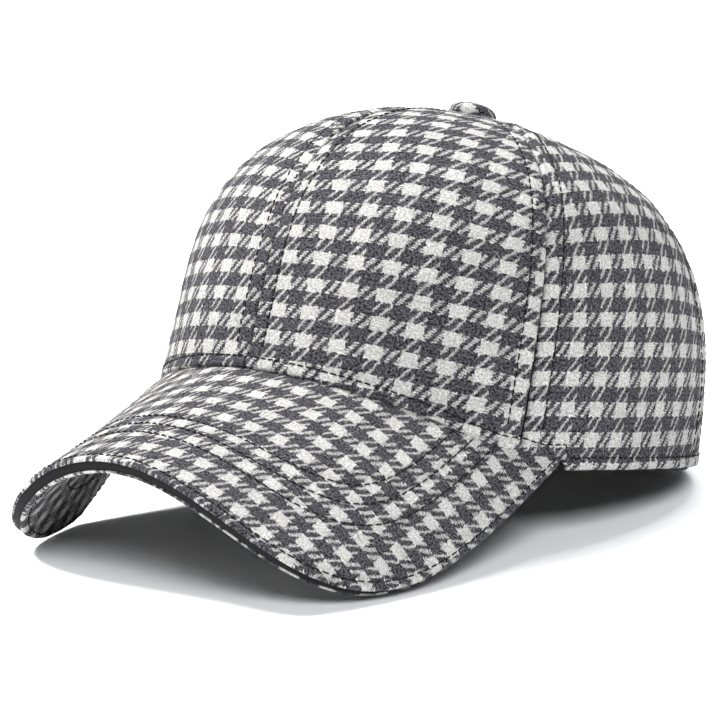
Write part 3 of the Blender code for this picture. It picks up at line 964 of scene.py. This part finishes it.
def wool_houndstooth():
    """Brushed woollen yarns in a three-by-three twill: 21 fine warp yarns to a
    repeat, of which 10 are light, and 12 thicker weft yarns, of which 6 are
    light. Each yarn passes over three and under three, and each next weft
    starts one warp further on, which gives the slanted teeth. Where the two
    tones cross, the light yarn shows only along the middle of its float,
    because the brushed dark fibres close over its ends and sides."""
    material, tree, shader = new_material("wool_houndstooth_brushed")
    mix, noise, span = "ShaderNodeMix", "ShaderNodeTexNoise", "ShaderNodeMapRange"
    pattern = add_node(tree, "ShaderNodeUVMap", {}, uv_map="flat_pattern")[0]
    even = move(tree, "MULTIPLY", pattern, repeat_size)
    drift = add_node(tree, noise, {"Vector": even, "Scale": 0.30, "Detail": 2.0})[1]
    fuzz = add_node(tree, noise, {"Vector": even, "Scale": 1.0, "Detail": 3.0, "Roughness": 0.8})[1]
    drift = move(tree, "SUBTRACT", drift, (0.5, 0.5, 0.5))
    fuzz = move(tree, "SUBTRACT", fuzz, (0.5, 0.5, 0.5))
    threads = move(tree, "MULTIPLY", pattern, (warp_yarns, weft_yarns, 0.0))
    moved = move(tree, "MULTIPLY_ADD", drift, yarn_drift, threads)
    moved = move(tree, "MULTIPLY_ADD", fuzz, yarn_fuzz, moved)
    whole = move(tree, "FLOOR", moved)
    part = move(tree, "FRACTION", moved)
    warp, weft = add_node(tree, "ShaderNodeSeparateXYZ", {0: whole})[0:2]
    on_warp, on_weft = add_node(tree, "ShaderNodeSeparateXYZ", {0: part})[0:2]
    stagger = calculate(tree, "SUBTRACT", warp, weft)
    stagger = calculate(tree, "ADD", stagger, 3.0)
    stagger = calculate(tree, "FLOORED_MODULO", stagger, 6.0)
    warp_up = calculate(tree, "LESS_THAN", stagger, 2.5)
    warp_place = calculate(tree, "FLOORED_MODULO", warp, warp_yarns)
    weft_place = calculate(tree, "FLOORED_MODULO", weft, weft_yarns)
    warp_light = calculate(tree, "LESS_THAN", warp_place, light_warps - 0.5)
    weft_light = calculate(tree, "LESS_THAN", weft_place, light_wefts - 0.5)
    both_light = calculate(tree, "MULTIPLY", warp_light, weft_light)
    top_light = add_node(tree, mix, {0: warp_up, 2: weft_light, 3: warp_light})[0]
    across = add_node(tree, mix, {0: warp_up, 2: on_weft, 3: on_warp})[0]
    across = calculate(tree, "MULTIPLY_ADD", across, 2.0, -1.0)
    across = calculate(tree, "ABSOLUTE", across)
    warp_run = calculate(tree, "SUBTRACT", stagger, on_weft)
    weft_run = calculate(tree, "ADD", stagger, on_warp)
    weft_run = calculate(tree, "SUBTRACT", weft_run, 4.0)
    run = add_node(tree, mix, {0: warp_up, 2: weft_run, 3: warp_run})[0]
    run = calculate(tree, "MULTIPLY_ADD", run, 2.0 / 3.0, -1.0 / 3.0)
    run = calculate(tree, "ABSOLUTE", run)
    warp_room = calculate(tree, "SUBTRACT", warp_show, run)
    weft_room = calculate(tree, "SUBTRACT", weft_show, across)
    room = add_node(tree, mix, {0: warp_up, 2: weft_room, 3: warp_room})[0]
    shown = add_node(tree, span, {0: room, 1: -0.25, 2: 0.22, 4: 0.85})[0]
    shown = calculate(tree, "MULTIPLY", shown, top_light)
    light = calculate(tree, "MAXIMUM", shown, both_light)
    crown = calculate(tree, "MULTIPLY", across, across)
    arch = calculate(tree, "MULTIPLY", run, run)
    height = calculate(tree, "MULTIPLY_ADD", arch, -0.6, 1.0)
    crown = calculate(tree, "MULTIPLY_ADD", crown, -0.8, 1.0)
    height = calculate(tree, "MULTIPLY", height, crown)
    fibre = add_node(tree, noise, {"Vector": even, "Scale": 1.25, "Detail": 2.5, "Roughness": 0.7})[0]
    patch = add_node(tree, noise, {"Vector": even, "Scale": 0.10, "Detail": 3.0})[0]
    speck = add_node(tree, span, {0: fibre, 1: 0.40, 2: 0.66})[0]
    dark = blend(tree, speck, "#050506", "#636269")
    pale = blend(tree, speck, "#9B9A97", "#D3D2CF")
    colour = add_node(tree, mix, {0: light, 6: dark, 7: pale}, data_type="RGBA")[2]
    # Painted shade: the yarn colour is scaled down to 0.8 toward the ends and sides of each float,
    # where the gaps between yarns fall in shade; the slow patches of wear on top are random tone.
    shade = add_node(tree, span, {0: height, 1: 0.0, 2: 0.8, 3: 0.80, 4: 1.0})[0]
    wear = add_node(tree, span, {0: patch, 1: 0.3, 2: 0.7, 3: 0.93, 4: 1.04})[0]
    shade = calculate(tree, "MULTIPLY", shade, wear)
    colour = add_node(tree, "ShaderNodeVectorMath", {0: colour, 3: shade}, operation="SCALE")[0]
    rough = calculate(tree, "MULTIPLY_ADD", fibre, 0.6, height)
    rough = calculate(tree, "MULTIPLY_ADD", light, 0.25, rough)
    bump = add_node(tree, "ShaderNodeBump", {"Height": rough, "Strength": 0.8, "Distance": 0.00030})[0]
    tree.links.new(colour, shader.inputs["Base Color"])
    tree.links.new(bump, shader.inputs["Normal"])
    shader.inputs["Roughness"].default_value = 0.95
    shader.inputs["Specular IOR Level"].default_value = 0.1
    shader.inputs["Sheen Weight"].default_value = 0.03
    shader.inputs["Sheen Roughness"].default_value = 0.5
    return material


def cotton_twill():
    """Black cotton twill: slanted ribs, 0.6 mm apart along the cloth, painted a
    little lighter on their crests and darker between them as painted highlight and shade; matt, and a
    little uneven in tone."""
    material, tree, shader = new_material("cotton_twill_black")
    pattern = add_node(tree, "ShaderNodeUVMap", {}, uv_map="flat_pattern")[0]
    metres = add_node(tree, "ShaderNodeSeparateXYZ", {0: pattern})
    slant = calculate(tree, "ADD", metres[0], metres[1])
    slant = calculate(tree, "MULTIPLY", slant, 2 * np.pi / 0.0006)
    rib = calculate(tree, "SINE", slant)
    dust = {"Vector": pattern, "Scale": 2500.0, "Detail": 3.0}
    dust = add_node(tree, "ShaderNodeTexNoise", dust)[0]
    height = calculate(tree, "MULTIPLY_ADD", rib, 0.4, dust)
    # Painted highlight and shade: the colour is lighter where the ribs and the speckle stand high and
    # darker where they sink; the speckle is also random tone.
    tone = add_node(tree, "ShaderNodeMapRange", {0: height, 1: 0.1, 2: 0.9})[0]
    colour = blend(tree, tone, "#040405", "#0E0E10")
    bump = add_node(tree, "ShaderNodeBump", {"Height": height, "Strength": 0.6, "Distance": 0.0001})[0]
    tree.links.new(colour, shader.inputs["Base Color"])
    tree.links.new(bump, shader.inputs["Normal"])
    shader.inputs["Roughness"].default_value = 0.85
    shader.inputs["Specular IOR Level"].default_value = 0.2
    return material


def sewing_thread():
    """Black spun polyester thread: two plies twisted once in 0.9 mm, whose
    slanted grooves break up its faint shine and are painted darker as painted shade."""
    material, tree, shader = new_material("polyester_thread_black")
    pattern = add_node(tree, "ShaderNodeUVMap", {}, uv_map="flat_pattern")[0]
    metres = add_node(tree, "ShaderNodeSeparateXYZ", {0: pattern})
    slant = calculate(tree, "MULTIPLY_ADD", metres[1], 1.5, metres[0])
    slant = calculate(tree, "MULTIPLY", slant, 2 * np.pi / 0.00045)
    ply = calculate(tree, "SINE", slant)
    # Painted shade: the colour is darker in the grooves between the plies and lighter on their crests.
    tone = add_node(tree, "ShaderNodeMapRange", {0: ply, 1: -1.0, 2: 1.0})[0]
    colour = blend(tree, tone, "#030304", "#0C0C0E")
    bump = add_node(tree, "ShaderNodeBump", {"Height": ply, "Strength": 0.5, "Distance": 0.00005})[0]
    tree.links.new(colour, shader.inputs["Base Color"])
    tree.links.new(bump, shader.inputs["Normal"])
    shader.inputs["Roughness"].default_value = 0.7
    shader.inputs["Specular IOR Level"].default_value = 0.15
    return material


def studio_paper():
    """White seamless paper, matt, with a barely visible tooth."""
    material, tree, shader = new_material("seamless_paper_white")
    place = add_node(tree, "ShaderNodeTexCoord", {})[3]
    tooth = add_node(tree, "ShaderNodeTexNoise", {"Vector": place, "Scale": 60.0, "Detail": 3.0})[0]
    colour = blend(tree, tooth, "#F6F7F8", "#FAFAFB")
    tree.links.new(colour, shader.inputs["Base Color"])
    shader.inputs["Roughness"].default_value = 0.9
    shader.inputs["Specular IOR Level"].default_value = 0.1
    return material


def add_floor():
    """Flat disc under the cap, wide enough to fill the view."""
    turn = np.linspace(0.0, 2 * np.pi, 97)[:-1]
    points = np.stack([9.0 * np.cos(turn), 9.0 * np.sin(turn), np.full(96, -0.00002)], -1)
    mesh = bpy.data.meshes.new("floor")
    mesh.from_pydata(points.tolist(), [], [list(range(96))])
    floor = add_object("floor", mesh)
    mesh.materials.append(studio_paper())


def way_out(turn, height):
    """Direction out from the cap at a turn and a height."""
    return np.array([np.sin(turn) * np.cos(height), -np.cos(turn) * np.cos(height), np.sin(height)])


def aim(thing, place, right, over, back):
    """Puts a camera or light at a place with its three axes."""
    turn = Matrix([[right[row], over[row], back[row], place[row]] for row in range(3)] + [[0, 0, 0, 1]])
    thing.matrix_world = turn


def add_camera():
    """The photograph's view: back, right and over are the camera's axes
    from its turn, height and roll; the target is moved by the shift."""
    turn, height, roll = np.radians([eye_turn, eye_height, eye_roll])
    back = way_out(turn, height)
    level = np.array([np.cos(turn), np.sin(turn), 0.0])
    upright = np.array([-np.sin(turn) * np.sin(height), np.cos(turn) * np.sin(height), np.cos(height)])
    right = level * np.cos(roll) + upright * np.sin(roll)
    over = upright * np.cos(roll) - level * np.sin(roll)
    target = np.array(eye_target) + eye_shift[0] * right + eye_shift[1] * over
    lens = bpy.data.cameras.new("camera")
    lens.lens = eye_lens
    lens.sensor_width = 36.0
    camera = add_object("camera", lens)
    aim(camera, target + eye_distance * back, right, over, back)
    bpy.context.scene.camera = camera


def add_light(name, turn, height, size, power, colour):
    """Square soft box at a turn and height about the cap, facing it."""
    turn, height = np.radians([turn, height])
    back = way_out(turn, height)
    right = unit(np.cross([0.0, 0.0, 1.0], back))
    lamp = bpy.data.lights.new(name, "AREA")
    lamp.shape = "SQUARE"
    lamp.size = size
    lamp.energy = power
    lamp.color = colour
    light = add_object(name, lamp)
    aim(light, np.array(light_target) + light_distance * back, right, np.cross(back, right), back)


def add_studio():
    """Seen from the camera, a far soft box high on the left and a little
    behind, and a wide weaker one in front; a third high behind the cap, and
    a dim even room, so the white floor stays evenly bright far back."""
    add_light("key_light", -75.0, 56.0, 1.2, 850.0, (1.0, 0.995, 0.98))
    add_light("front_light", 55.0, 38.0, 2.4, 330.0, (0.98, 0.99, 1.0))
    add_light("back_light", 200.0, 66.0, 2.4, 260.0, (0.97, 0.98, 1.0))
    world = bpy.data.worlds.new("room")
    world.use_nodes = True
    world.node_tree.nodes["Background"].inputs[0].default_value = (0.95, 0.97, 1.0, 1.0)
    world.node_tree.nodes["Background"].inputs[1].default_value = 0.18
    bpy.context.scene.world = world
    bpy.context.scene.view_settings.view_transform = "Standard"


def make_cap():
    """All the pieces of the cap."""
    wool, twill, thread = wool_houndstooth(), cotton_twill(), sewing_thread()
    seam_lines, hem_lines = [], []
    for name, first_seam in zip(gores, seam_angles):
        lines, hem = add_gore(name, first_seam, wool)
        seam_lines += lines
        hem_lines.append(hem)
    brim_lines = add_brim_cover("brim_top", True, wool)
    under_lines = add_brim_cover("brim_under", False, wool)
    add_tape(twill)
    add_sweatband(twill)
    add_button(wool)
    add_stitches("stitches_crown", seam_lines + hem_lines, thread)
    add_stitches("stitches_brim", brim_lines + under_lines, thread)


add_camera()
add_floor()
add_studio()
make_cap()
